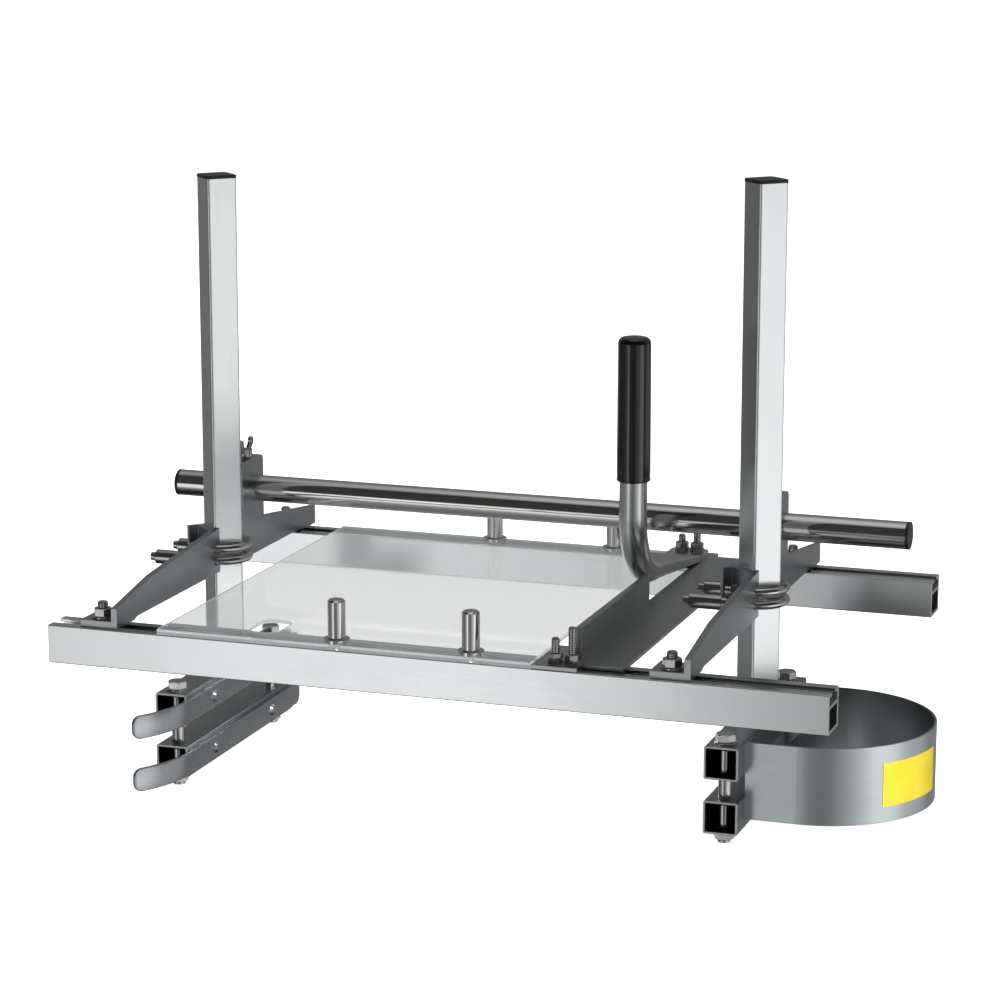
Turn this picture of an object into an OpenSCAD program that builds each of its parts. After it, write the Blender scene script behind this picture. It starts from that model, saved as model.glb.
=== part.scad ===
// Portable log cutting frame for a chainsaw: two slotted rails, two end brackets that
// carry height posts, a pair of clamp jaws under each post, a nose guard and a push handle.
// X runs along the rails, Y from the front rail to the back rail, Z up.
// The origin is the middle of the front rail's underside.

/* [Rails] */
// Length of each rail
rail_len = 616; // [600:2:680]
// Width of a rail
rail_w = 30; // [28:1:34]
// Height of a rail
rail_h = 30; // [28:1:34]
// Distance between the two rails' slots
rail_pitch = 361; // [345:1:380]
// Wall of the rail section
rail_wall = 2.5; // [2:0.1:3]
// Width of the slot's mouth
slot_mouth = 12; // [10:0.5:13]
// Height of the slot's channel under its lips
slot_h = 6.4; // [6:0.1:8]
// Thickness of the slot's lips
lip_t = 2.6; // [2:0.1:3]

/* [End brackets] */
// Place of the left bracket's outer face along the rails
left_bracket_x = -251; // [-258:1:-245]
// Place of the right bracket's outer face along the rails
right_bracket_x = 205; // [200:1:215]
// Thickness of the bracket's web
bracket_t = 5; // [4:0.5:6]
// How far the web reaches in front of the front slot
bracket_front = 11; // [8:1:14]
// How far the web reaches behind the back slot
bracket_back = 26; // [18:1:30]
// Height of the web at both of its ends
bracket_end_h = 16; // [14:1:20]
// How much higher the web is at the post
bracket_rise = 24; // [20:1:30]
// Distance from the front slot to the knee of the web's top edge
knee_y = 53; // [45:1:65]
// How much higher the knee is than the web's end
knee_rise = 12; // [10:1:18]
// Height of the clear arch between the feet
arch_h = 2; // [1.5:0.5:6]
// Length of a bracket's foot along the web
foot_len = 30; // [27:1:36]
// Width of a bracket's foot
foot_w = 31; // [28:1:34]
// Thickness of a bracket's foot
foot_t = 5.5; // [4:0.5:7]
// Distance from the web's outer face to the foot's bolt
foot_bolt_x = 17; // [15:0.5:18]

/* [Post seat] */
// Wall of the vee that holds the post
seat_wall = 4; // [3:0.5:5]
// Height of the vee
seat_h = 37; // [35:1:60]
// Length of the vee's lapped ear
ear_len = 8.5; // [6:0.5:20]
// Clearance between a post and its seat
seat_gap = 0.3; // [0.2:0.05:0.5]

/* [Posts] */
// Side of the square post tube
post_w = 25; // [23:1:27]
// Wall of the post tube
post_t = 2; // [1.5:0.1:2.5]
// Corner radius of the post tube
post_r = 2; // [1.5:0.1:2.4]
// Length of the left post
left_post_len = 404; // [380:1:440]
// Length of the right post
right_post_len = 417; // [380:1:440]
// Distance from the front slot to the posts
post_y = 197; // [190:1:204]
// Distance from a bracket's outer face back to its post's axis
post_inset = 3.4; // [2.5:0.1:4.5]
// Drop from the rails' top to the top of the upper jaws
jaw_drop = 78; // [75:1:100]
// Height of a post's cap
cap_h = 7; // [6:0.5:12]
// Thickness of the cap's skirt
cap_skirt = 1; // [0.8:0.1:1.5]

/* [U-bolts] */
// Diameter of a U-bolt's rod
u_rod = 7; // [6:0.5:7]
// Distance between a U-bolt's legs
u_span = 44; // [43:1:48]
// Height of the lower U-bolt above the rails
u_low = 12.5; // [12:0.5:14]
// Height between the two U-bolts
u_step = 10.2; // [10.1:0.1:14]
// Reach of the long legs behind the web's outer face
u_long_leg = 58; // [54:1:66]
// Width over the flats of the U-bolts' short nuts
u_nut_af = 11; // [10:0.5:11]
// Height of those nuts
u_nut_h = 5.5; // [4:0.5:6]
// Wall of the pads and bushes round the legs
pad_wall = 1; // [0.8:0.1:1]
// How far the pads reach behind the post's axis
pad_reach = 9; // [8:0.5:10]
// Diameter of the long sleeve nuts
sleeve_d = 12; // [11:0.5:12.5]
// Length of the long sleeve nuts
sleeve_len = 26; // [20:1:27]

/* [Round bar] */
// Diameter of the round bar
bar_d = 22; // [20:0.5:24]
// Length of the round bar
bar_len = 622; // [600:1:680]
// Wall of the round bar
bar_t = 1.6; // [1.2:0.1:2.5]
// Place of the round bar's middle along the rails
bar_x = -5; // [-12:1:0]
// Distance from the front slot to the round bar
bar_y = 252; // [246:1:258]
// Height of the round bar's axis above the rails
bar_z = 59; // [54:1:64]
// Running clearance of the round bar, on the radius
bar_gap = 0.08; // [0.05:0.01:0.1]
// Width of the block that holds the round bar
block_w = 44; // [38:1:48]
// Thickness of that block
block_t = 12; // [10:1:14]
// Height of the block's top above the round bar's axis
block_top = 25; // [22:1:32]
// Diameter of the wing screw
wing_d = 6; // [5:0.5:8]
// Width over the wings
wing_span = 27; // [22:1:32]
// Height of the wings
wing_h = 15; // [12:1:18]

/* [Clamp jaws] */
// Width of a jaw tube
jaw_w = 27; // [25:1:30]
// Height of a jaw tube
jaw_h = 26; // [24:1:30]
// Wall of a jaw tube
jaw_t = 2.5; // [2:0.1:3]
// Length of a jaw
jaw_len = 216; // [204:1:230]
// Gap between the jaws, where the saw's bar goes
jaw_gap = 17; // [17:1:24]
// Diameter of a jaw bolt
jaw_bolt_d = 10; // [8:0.5:10]
// Width over the flats of a jaw bolt's head
jaw_bolt_af = 14; // [13:0.5:15]
// Distance from a jaw's end to its bolt
jaw_bolt_inset = 13; // [11:0.5:15]

/* [Bar strips] */
// Height of a strip
strip_h = 19; // [17:1:22]
// Thickness of a strip
strip_t = 3; // [2:0.5:4]
// Radius of the strip's curled front
strip_r = 95; // [80:1:110]
// Angle of the curl
strip_angle = 39; // [30:1:45]
// How far the strip's straight part reaches behind the jaw
strip_back = 10; // [4:1:20]
// Distance from the jaw's top down to the strip's top
strip_drop = 3.5; // [3:0.1:4]

/* [Nose guard] */
// Outer radius of the guard's round front
guard_r = 88; // [80:1:92]
// Reach of the guard from the jaw's face
guard_reach = 128; // [115:1:135]
// Height of the guard
guard_h = 61; // [50:1:64]
// Thickness of the guard's sheet
guard_t = 2.2; // [1.5:0.1:3]
// Length of the guard's fixing tabs
guard_tab = 18; // [16:1:22]

/* [Stud pins] */
// Place of the left pins along the rails
pin_left = -74; // [-90:1:-60]
// Place of the right pins along the rails
pin_right = 33; // [20:1:50]
// Diameter of a pin
pin_d = 13.5; // [12:0.5:15]
// Diameter of a pin's flange
pin_flange_d = 20; // [18:0.5:22]
// Height of a pin above the rail
pin_h = 36; // [30:1:45]

/* [Clear plate] */
// Place of the plate's left edge along the rails
plate_left = -218; // [-220:1:-200]
// Place of the plate's right edge along the rails
plate_right = 82; // [70:1:82]
// Thickness of the plate
plate_t = 3; // [2.5:0.1:4]
// How far the plate reaches beyond the middle of each slot
plate_over = 10; // [9:0.5:12]
// Place of the hand hole's middle along the rails
hole_x = -140; // [-180:1:-110]
// Distance from the front slot to the hand hole's middle
hole_y = 28; // [26:1:60]
// Width of the hand hole
hole_w = 25; // [18:1:30]
// Length of the hand hole across the plate
hole_len = 38; // [30:1:50]

/* [Cross member] */
// Place of the cross member's web along the rails
cross_x = 111; // [108:1:113]
// Thickness of the cross member's web
cross_web_t = 5; // [4:0.5:6]
// Height of the cross member's web
cross_web_h = 27; // [22:1:32]
// Width of the flat flange
cross_flange_w = 41; // [38:1:48]
// Thickness of the flat flange
cross_flange_t = 3; // [2.5:0.1:4]
// Length of the web along the cross member
cross_web_len = 176; // [150:1:180]
// Reach of the feet to the left of the web
cross_foot_w = 26; // [24:1:27]
// Length of the feet along the cross member
cross_foot_len = 60; // [50:1:70]

/* [Push handle] */
// Diameter of the handle's tube
handle_d = 22; // [20:0.5:23]
// Wall of the handle's tube
handle_t = 1.6; // [1.2:0.1:2]
// Bend radius of the handle
handle_r = 51; // [40:1:55]
// Distance from the front slot to the handle's upright
handle_y = 195; // [190:1:210]
// Place of the handle along the rails
handle_x = 99; // [98:0.5:99.5]
// Height of the handle's lower run above the rails
handle_z = 19; // [17:0.5:24]
// Width of the handle's flattened end
spade_w = 32; // [28:1:32]
// Thickness of the handle's flattened end
spade_t = 5; // [4:0.5:6]
// Length of the flat end before the back slot
spade_lead = 20; // [12:1:30]
// Length of the flat end behind the back slot
spade_tail = 8; // [7:0.5:12]
// Length of the straight tube between the bend and the taper
handle_run = 4; // [2:1:60]
// Height of the grip's lower end above the rails
grip_low = 100; // [90:1:110]
// Length of the grip
grip_len = 115; // [100:1:130]
// Diameter of the grip
grip_d = 27; // [25:0.5:30]

/* [Fasteners] */
// Diameter of the slot bolts
bolt_d = 8; // [6:0.5:8]
// Width over the flats of their nuts
nut_af = 13; // [12:0.5:14]
// Height of their nuts
nut_h = 6.5; // [5:0.5:8]
// Side of the slot bolts' heads
slot_head = 18; // [16:0.5:20]
// Diameter of the cross member's small bolts
small_d = 6; // [5:0.5:6]
// Width over the flats of their nuts
small_af = 10; // [9:0.5:10.5]
// Height of their nuts
small_h = 5; // [4:0.5:6]
// Diameter of the rivets and screws in the jaws' walls
rivet_d = 6; // [4:0.5:8]
// Distance between the two small bolts of a pair
small_pitch = 13; // [12:0.5:14]
// Height of the short small bolts above the feet
small_short = 18; // [16:1:22]
// Height of the tall small bolts above the feet
small_tall = 27; // [24:1:32]
// Thread that shows beyond a nut
thread_end = 5; // [3:0.5:6]
// Diameter of the washers
washer_d = 17; // [15:0.5:18]
// Thickness of the washers
washer_t = 1.6; // [1:0.1:2]

/* [Hidden] */
$fn = 64;
// Clearance under pieces that slide along the rails
slide_gap = 0.1;
// Clearance of a bolt in its hole, on the radius
hole_gap = 0.25;
// Overlap that makes a cut pass through
cut = 1;
// Corner radius of the rail section
rail_r = 0.8;
// Corner radius of the jaw tubes
jaw_r = 1.5;
// Play of a slot bolt's head in its channel
head_play = 1.4;
// Thickness of a post cap's top
cap_top = 2;
rail_inner = rail_w - 2 * rail_wall;
channel_z = rail_h - lip_t - slot_h;
divider_z = channel_z - rail_wall;
slide_z = rail_h + slide_gap;
bracket_y0 = -bracket_front;
bracket_y1 = rail_pitch + bracket_back;
passage_w = post_w + 2 * seat_gap;
seat_out_w = passage_w + 2 * seat_wall;
post_half_diag = (post_w / 2 - post_r) * sqrt(2) + post_r;
u_bend_r = u_span / 2;
u_bend_x = -post_inset + post_half_diag + seat_gap - (u_bend_r - u_rod / 2);
u_low_z = rail_h + u_low;
u_high_z = u_low_z + u_step;
pad_d = u_rod + 2 * pad_wall;
pad_x = -post_inset - pad_reach;
u_nut_x = pad_x - washer_t;
u_short_leg = -u_nut_x + u_nut_h + thread_end;
sleeve_x = -u_long_leg + thread_end;
bar_axis_z = rail_h + bar_z;
block_top_z = bar_axis_z + block_top;
jaw_top = rail_h - jaw_drop;
lower_jaw_top = jaw_top - jaw_h - jaw_gap;
jaw_bolt_dy = jaw_len / 2 - jaw_bolt_inset;
jaw_front = post_y - jaw_len / 2;
jaw_back = post_y + jaw_len / 2;
left_post_x = left_bracket_x - post_inset;
right_post_x = right_bracket_x - post_inset;
guard_straight = guard_reach - guard_r;
plate_z = rail_h;
plate_top = plate_z + plate_t;
cross_top = slide_z + cross_flange_t;
handle_axis_z = rail_h + handle_z;
spade_y = rail_pitch - spade_lead;
run_end = handle_y + handle_r + handle_run;
spade_end = rail_pitch + spade_tail;
front_pair_x = handle_x + small_pitch / 2;
grip_top_wall = 4;
grip_seat_z = rail_h + grip_low + grip_len - grip_d / 2 - grip_top_wall;

// Flat rectangle with round corners, centred
module rounded_rect(w, h, r) {
    square([w - 2 * r, h], center = true);
    square([w, h - 2 * r], center = true);
    for (sx = [-1, 1], sy = [-1, 1])
        translate([sx * (w / 2 - r), sy * (h / 2 - r)]) circle(r);
}

// Flat section of a square tube, centred
module tube_section(w, h, t, r) {
    difference() {
        rounded_rect(w, h, r);
        square([w - 2 * t, h - 2 * t], center = true);
    }
}

// Hexagonal prism whose corners are turned off at 30 degrees
module hex_prism(af, h) {
    corner_r = af / 2 / cos(30);
    face_share = 0.475;
    over = 0.6;
    face_r = face_share * af;
    run = corner_r - face_r + over;
    fall = run * tan(30);
    intersection() {
        cylinder(h = h, r = corner_r, $fn = 6);
        rotate_extrude() polygon([[0, 0], [face_r, 0], [face_r + run, fall],
                                  [face_r + run, h - fall], [face_r, h], [0, h]]);
    }
}

// Hexagonal nut standing on the plane below it
module hex_nut(af, h, bore) {
    difference() {
        hex_prism(af, h);
        translate([0, 0, -cut]) cylinder(h = h + 2 * cut, d = bore);
    }
}

// Flat washer
module washer(d, t, bore) {
    difference() {
        cylinder(h = t, d = d);
        translate([0, 0, -cut]) cylinder(h = t + 2 * cut, d = bore);
    }
}

// Nut on its washer, as one fastener
module nut_and_washer(bore) {
    washer(washer_d, washer_t, bore);
    translate([0, 0, washer_t]) hex_nut(nut_af, nut_h, bore);
}

// Bolt of diameter d whose head slides in a rail's channel; the shank ends at height top
module slot_bolt(top, d, head_w) {
    head_t = slot_h - head_play;
    head_z = rail_h - lip_t - slide_gap - head_t;
    tip_h = 1;
    tip_d = d - 1.6 * tip_h;
    translate([-head_w / 2, -slot_head / 2, head_z]) cube([head_w, slot_head, head_t]);
    translate([0, 0, head_z]) cylinder(h = top - head_z - tip_h, d = d);
    translate([0, 0, top - tip_h]) cylinder(h = tip_h, d1 = d, d2 = tip_d);
}

// Slotted rail at distance y from the front slot
module rail(y) {
    translate([0, y, 0]) rotate([90, 0, 90]) linear_extrude(rail_len, center = true)
        difference() {
            translate([0, rail_h / 2]) rounded_rect(rail_w, rail_h, rail_r);
            translate([-rail_inner / 2, rail_wall]) square([rail_inner, divider_z - rail_wall]);
            translate([-rail_inner / 2, channel_z]) square([rail_inner, slot_h]);
            translate([-slot_mouth / 2, rail_h - lip_t - cut]) square([slot_mouth, lip_t + 2 * cut]);
        }
}

module front_rail() {
    color("gainsboro") rail(0);
}

module back_rail() {
    color("gainsboro") rail(rail_pitch);
}

// Clear plate over both slots, with holes for the pins and a hand hole
module clear_plate() {
    color("lightcyan") difference() {
        translate([plate_left, -plate_over, plate_z])
            cube([plate_right - plate_left, rail_pitch + 2 * plate_over, plate_t]);
        for (x = [pin_left, pin_right], y = [0, rail_pitch])
            translate([x, y, plate_z - cut]) cylinder(h = plate_t + 2 * cut, d = pin_d + 2 * hole_gap);
        translate([hole_x, hole_y, plate_z - cut]) linear_extrude(plate_t + 2 * cut)
            rounded_rect(hole_w, hole_len, hole_w / 3);
    }
}

// Turned pins: sleeve, flange on the plate and a foot on the rail's lips
module stud_pins() {
    edge = 1.5;
    flange_h = 3;
    color("silver") for (x = [pin_left, pin_right], y = [0, rail_pitch])
        translate([x, y, rail_h]) rotate_extrude() polygon([
            [0, 0], [pin_d / 2, 0], [pin_d / 2, plate_t], [pin_flange_d / 2, plate_t],
            [pin_flange_d / 2, plate_t + flange_h], [pin_d / 2, plate_t + flange_h],
            [pin_d / 2, pin_h - edge], [pin_d / 2 - edge, pin_h], [0, pin_h]]);
}

// Headed studs that hold the pins down in the slots
module stud_bolts() {
    head_t = slot_h - head_play;
    color("silver") for (x = [pin_left, pin_right], y = [0, rail_pitch])
        translate([x, y, 0]) {
            translate([-slot_head / 2, -slot_head / 2, rail_h - lip_t - head_t])
                cube([slot_head, slot_head, head_t]);
            translate([0, 0, rail_h - lip_t - cut]) cylinder(h = lip_t + cut, d = bolt_d);
        }
}

// Side outline of a bracket's web, in the plane of Y and Z
module web_outline() {
    arch_run = 6;
    polygon([[bracket_y0, 0], [bracket_y0 + foot_len, 0],
             [bracket_y0 + foot_len + arch_run, arch_h], [bracket_y1 - foot_len - arch_run, arch_h],
             [bracket_y1 - foot_len, 0], [bracket_y1, 0], [bracket_y1, bracket_end_h],
             [post_y, bracket_end_h + bracket_rise], [knee_y, bracket_end_h + knee_rise],
             [bracket_y0, bracket_end_h]]);
}

// Extrudes a drawing in the plane of Y and Z from x towards x + t
module along_x(x, t) {
    translate([x, 0, 0]) rotate([90, 0, 90]) linear_extrude(t) children();
}

// Vee behind the post with its lapped ear, as seen from above
module seat_outline() {
    half = seat_out_w / 2;
    intersection() {
        rotate(45) square(seat_out_w, center = true);
        translate([-seat_out_w, -seat_out_w]) square([seat_out_w, 2 * seat_out_w]);
    }
    rotate(225) translate([0, -half]) square([half + ear_len, seat_wall]);
}

// One end bracket whose outer face is at x
module end_bracket(x) {
    color("slategray") translate([x, 0, 0]) difference() {
        union() {
            translate([0, 0, slide_z]) along_x(-bracket_t, bracket_t) web_outline();
            for (y = [bracket_y0, bracket_y1 - foot_len])
                translate([-foot_w, y, slide_z]) cube([foot_w, foot_len, foot_t]);
            translate([-post_inset, post_y, slide_z + arch_h])
                linear_extrude(seat_h - arch_h) seat_outline();
            along_x(-block_t, block_t) bar_block_outline();
            for (sy = [-1, 1], z = [u_low_z, u_high_z])
                translate([pad_x, post_y + sy * u_bend_r, z]) rotate([0, 90, 0])
                    cylinder(h = -pad_x - bracket_t / 2, d = pad_d);
        }
        translate([-post_inset, post_y, 0]) rotate(45)
            translate([-passage_w / 2, -passage_w / 2, 0]) cube([passage_w, passage_w, block_top_z + cut]);
        for (sy = [-1, 1], z = [u_low_z, u_high_z])
            translate([-foot_w - cut, post_y + sy * u_bend_r, z]) rotate([0, 90, 0])
                cylinder(h = foot_w + 2 * cut, d = u_rod + 2 * hole_gap);
        translate([-block_t - cut, bar_y, bar_axis_z]) rotate([0, 90, 0])
            cylinder(h = block_t + 2 * cut, r = bar_d / 2 + bar_gap);
        translate([-block_t / 2, bar_y, bar_axis_z]) cylinder(h = block_top + cut, d = wing_d + 2 * bar_gap);
        for (y = [0, rail_pitch])
            translate([-foot_bolt_x, y, slide_z - cut]) cylinder(h = foot_t + 2 * cut, d = bolt_d + 2 * hole_gap);
    }
}

// Outline of the upright block round the bar, in the plane of Y and Z
module bar_block_outline() {
    corner_r = 5;
    translate([bar_y, block_top_z - corner_r]) {
        translate([-block_w / 2, -block_top + corner_r - bar_z + bracket_end_h])
            square([block_w, block_top - corner_r + bar_z - bracket_end_h]);
        translate([-block_w / 2 + corner_r, 0]) square([block_w - 2 * corner_r, corner_r]);
        for (sy = [-1, 1]) translate([sy * (block_w / 2 - corner_r), 0]) circle(corner_r);
    }
}

// Slot bolts that hold a bracket's feet down
module bracket_bolts(x) {
    top = slide_z + foot_t + washer_t + nut_h + thread_end;
    color("silver") for (y = [0, rail_pitch]) translate([x - foot_bolt_x, y, 0])
        slot_bolt(top, bolt_d, slot_head);
}

// Nuts and washers on a bracket's feet
module bracket_nuts(x) {
    color("silver") for (y = [0, rail_pitch])
        translate([x - foot_bolt_x, y, slide_z + foot_t]) nut_and_washer(bolt_d);
}

// U-bolt round the post at height z, its legs reaching back by leg from the web's face
module u_bolt(z, leg) {
    translate([0, post_y, z]) {
        translate([u_bend_x, 0, 0]) rotate([0, 0, -90]) rotate_extrude(angle = 180)
            translate([u_bend_r, 0]) circle(d = u_rod);
        for (sy = [-1, 1]) translate([-leg, sy * u_bend_r, 0]) rotate([0, 90, 0])
            cylinder(h = leg + u_bend_x, d = u_rod);
    }
}

// Two stacked U-bolts of one bracket
module u_bolts(x) {
    color("silver") translate([x, 0, 0]) {
        u_bolt(u_high_z, u_short_leg);
        u_bolt(u_low_z, u_long_leg);
    }
}

// Short nuts of the upper U-bolt, long sleeve nuts and bushes of the lower one
module u_bolt_nuts(x) {
    color("silver") translate([x, post_y, 0]) for (sy = [-1, 1]) {
        translate([pad_x, sy * u_bend_r, u_high_z]) rotate([0, -90, 0]) rotate(30) {
            washer(pad_d, washer_t, u_rod);
            translate([0, 0, washer_t]) hex_nut(u_nut_af, u_nut_h, u_rod);
        }
        translate([pad_x, sy * u_bend_r, u_low_z]) rotate([0, -90, 0]) {
            washer(pad_d, -sleeve_x + pad_x - sleeve_len, u_rod);
            translate([0, 0, -sleeve_x + pad_x - sleeve_len]) washer(sleeve_d, sleeve_len, u_rod);
        }
    }
}

// Wing screw that clamps the round bar in the bracket at x
module wing_screw(x) {
    hub_d = wing_d + 5;
    hub_h = 6;
    hub_z = block_top_z + 1.5;
    low_z = bar_axis_z + bar_d / 2 + seat_gap;
    color("silver") translate([x - block_t / 2, bar_y, 0]) {
        translate([0, 0, low_z]) cylinder(h = hub_z - low_z + hub_h, d = wing_d);
        translate([0, 0, hub_z]) cylinder(h = hub_h, d = hub_d);
        for (turn = [0, 180]) rotate(turn) translate([0, 0, hub_z]) wing_blade();
    }
}

// One blade of a wing screw, rising from the hub towards +Y
module wing_blade() {
    blade_t = 2.6;
    tip_r = 3.4;
    along_x(-blade_t / 2, blade_t) {
        polygon([[0, 1], [3, 0.5], [wing_span / 2, wing_h - tip_r * 1.6],
                 [wing_span / 2 - 2 * tip_r + 1, wing_h - tip_r], [3, 6], [0, 6]]);
        translate([wing_span / 2 - tip_r, wing_h - tip_r]) circle(tip_r);
    }
}

module left_end_bracket() {
    end_bracket(left_bracket_x);
}

module left_bracket_bolts() {
    bracket_bolts(left_bracket_x);
}

module left_bracket_nuts() {
    bracket_nuts(left_bracket_x);
}

module left_u_bolts() {
    u_bolts(left_bracket_x);
}

module left_u_bolt_nuts() {
    u_bolt_nuts(left_bracket_x);
}

module left_wing_screw() {
    wing_screw(left_bracket_x);
}

module right_end_bracket() {
    end_bracket(right_bracket_x);
}

module right_bracket_bolts() {
    bracket_bolts(right_bracket_x);
}

module right_bracket_nuts() {
    bracket_nuts(right_bracket_x);
}

module right_u_bolts() {
    u_bolts(right_bracket_x);
}

module right_u_bolt_nuts() {
    u_bolt_nuts(right_bracket_x);
}

module right_wing_screw() {
    wing_screw(right_bracket_x);
}

// Round steel tube that ties the two brackets
module round_bar() {
    color("lightgray") translate([bar_x - bar_len / 2, bar_y, bar_axis_z]) rotate([0, 90, 0]) difference() {
        cylinder(h = bar_len, d = bar_d);
        translate([0, 0, -cut]) cylinder(h = bar_len + 2 * cut, d = bar_d - 2 * bar_t);
    }
}

// End plug of the round bar; side is -1 at the left and 1 at the right
module bar_plug(side) {
    lip = 2.5;
    depth = 14;
    color("black") translate([bar_x + side * bar_len / 2, bar_y, bar_axis_z]) rotate([0, side * 90, 0]) {
        cylinder(h = lip, d = bar_d);
        translate([0, 0, -depth]) cylinder(h = depth, d = bar_d - 2 * bar_t);
    }
}

module left_bar_plug() {
    bar_plug(-1);
}

module right_bar_plug() {
    bar_plug(1);
}

// Square post tube set edgeways, standing on its upper jaw
module post(x, len) {
    color("whitesmoke") translate([x, post_y, jaw_top]) rotate(45) linear_extrude(len)
        tube_section(post_w, post_w, post_t, post_r);
}

// Plastic cap over a post's top
module post_cap(x, len) {
    skirt_h = cap_h - cap_top;
    top = jaw_top + len;
    color("black") translate([x, post_y, top - skirt_h]) rotate(45) {
        linear_extrude(skirt_h) difference() {
            rounded_rect(post_w + 2 * cap_skirt, post_w + 2 * cap_skirt, post_r + cap_skirt);
            rounded_rect(post_w, post_w, post_r);
        }
        translate([0, 0, skirt_h]) linear_extrude(cap_top)
            rounded_rect(post_w + 2 * cap_skirt, post_w + 2 * cap_skirt, post_r + cap_skirt);
    }
}

// Jaw tube under the post at x, its top at height top
module jaw(x, top, gap) {
    color("dimgray") difference() {
        translate([x, post_y, top - jaw_h / 2]) rotate([90, 0, 0]) linear_extrude(jaw_len, center = true)
            tube_section(jaw_w, jaw_h, jaw_t, jaw_r);
        for (sy = [-1, 1]) translate([x, post_y + sy * jaw_bolt_dy, top - jaw_h - cut])
            cylinder(h = jaw_h + 2 * cut, r = jaw_bolt_d / 2 + gap);
        children();
    }
}

// Left jaw with its rivet holes
module left_jaw(top, gap) {
    jaw(left_post_x, top, gap) rivet_holes(top);
}

// Long bolts that draw a pair of jaws together
module jaw_bolts(x) {
    head_h = 6.4;
    tip = lower_jaw_top - jaw_h - nut_h - 2.5;
    color("silver") for (sy = [-1, 1]) translate([x, post_y + sy * jaw_bolt_dy, 0]) {
        translate([0, 0, jaw_top]) cylinder(h = washer_t, d = jaw_bolt_af + 4);
        translate([0, 0, jaw_top + washer_t]) hex_prism(jaw_bolt_af, head_h);
        translate([0, 0, tip]) cylinder(h = jaw_top - tip, d = jaw_bolt_d);
    }
}

// Nuts under a lower jaw
module jaw_nuts(x) {
    color("silver") for (sy = [-1, 1])
        translate([x, post_y + sy * jaw_bolt_dy, lower_jaw_top - jaw_h - nut_h])
            hex_nut(jaw_bolt_af, nut_h, jaw_bolt_d + 2 * bar_gap);
}

// Strip as seen from the side from y0 to y1, with round corners
module strip_side(y0, y1) {
    translate([(y0 + y1) / 2, 0]) rounded_rect(y1 - y0, strip_h, strip_h / 4);
}

// Strip along a left jaw whose front curls in front of the tube's open end,
// drawn from the jaw's front end so that the curl and the straight part always join
module strip(top) {
    tip_y = -strip_r * sin(strip_angle) - cut;
    end_y = jaw_len + strip_back;
    color("slategray") difference() {
        translate([left_post_x + jaw_w / 2, jaw_front, top - strip_drop - strip_h / 2]) {
            along_x(0, strip_t) intersection() {
                strip_side(tip_y, end_y);
                translate([0, -strip_h]) square([end_y + cut, 2 * strip_h]);
            }
            intersection() {
                translate([strip_t - strip_r, 0, -strip_h / 2]) rotate_extrude(angle = -strip_angle)
                    translate([strip_r - strip_t, 0]) square([strip_t, strip_h]);
                along_x(-strip_r, 2 * strip_r) strip_side(tip_y, end_y);
            }
        }
        rivet_holes(top);
    }
}

// Places its children at a strip's rivets, looking out of the jaw's face
module at_rivets(top) {
    inset = 50;
    for (y = [jaw_front + inset, jaw_back - inset])
        translate([left_post_x + jaw_w / 2, y, top - strip_drop - strip_h / 2]) rotate([0, 90, 0]) children();
}

// Holes of the rivets through a strip and the wall of its jaw
module rivet_holes(top) {
    at_rivets(top) translate([0, 0, -jaw_t - cut])
        cylinder(h = jaw_t + strip_t + 2 * cut, d = rivet_d + 2 * bar_gap);
}

// Round-headed rivets through a strip and the wall of its jaw
module strip_rivets(top) {
    head_t = 2.4;
    color("silver") at_rivets(top) {
        translate([0, 0, -jaw_t - 1]) cylinder(h = jaw_t + 1 + strip_t, d = rivet_d);
        translate([0, 0, strip_t]) cylinder(h = head_t, d1 = rivet_d + 5, d2 = rivet_d + 2);
    }
}

module left_post() {
    post(left_post_x, left_post_len);
}

module left_post_cap() {
    post_cap(left_post_x, left_post_len);
}

module left_upper_jaw() {
    left_jaw(jaw_top, bar_gap);
}

module left_jaw_bolts() {
    jaw_bolts(left_post_x);
}

module left_upper_strip() {
    strip(jaw_top);
}

module left_upper_strip_rivets() {
    strip_rivets(jaw_top);
}

module left_lower_jaw() {
    left_jaw(lower_jaw_top, hole_gap);
}

module left_jaw_nuts() {
    jaw_nuts(left_post_x);
}

module left_lower_strip() {
    strip(lower_jaw_top);
}

module left_lower_strip_rivets() {
    strip_rivets(lower_jaw_top);
}

module right_post() {
    post(right_post_x, right_post_len);
}

module right_post_cap() {
    post_cap(right_post_x, right_post_len);
}

module right_upper_jaw() {
    jaw(right_post_x, jaw_top, bar_gap) guard_holes();
}

module right_jaw_bolts() {
    jaw_bolts(right_post_x);
}

module right_lower_jaw() {
    jaw(right_post_x, lower_jaw_top, hole_gap);
}

module right_jaw_nuts() {
    jaw_nuts(right_post_x);
}

// Half-round band round the saw bar's nose, with two tabs on the upper jaw
module nose_guard() {
    face_x = right_post_x + jaw_w / 2;
    color("lightslategray") difference() {
        translate([face_x, post_y, jaw_top]) {
            translate([guard_straight, 0, -guard_h]) rotate(-90) rotate_extrude(angle = 180)
                translate([guard_r - guard_t, 0]) square([guard_t, guard_h]);
            for (back = [0, 1]) mirror([0, back, 0]) {
                translate([seat_gap, guard_r - guard_t, -guard_h])
                    cube([guard_straight - seat_gap, guard_t, guard_h]);
                translate([0, guard_r - guard_tab, -jaw_h + 1]) cube([guard_t, guard_tab, jaw_h - 2]);
            }
        }
        guard_holes();
    }
}

// Places its children at the guard's two screws, looking out of the jaw's face
module at_guard_screws() {
    for (sy = [-1, 1])
        translate([right_post_x + jaw_w / 2, post_y + sy * (guard_r - guard_tab / 2 - guard_t / 2),
                   jaw_top - jaw_h / 2])
            rotate([0, 90, 0]) children();
}

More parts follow.
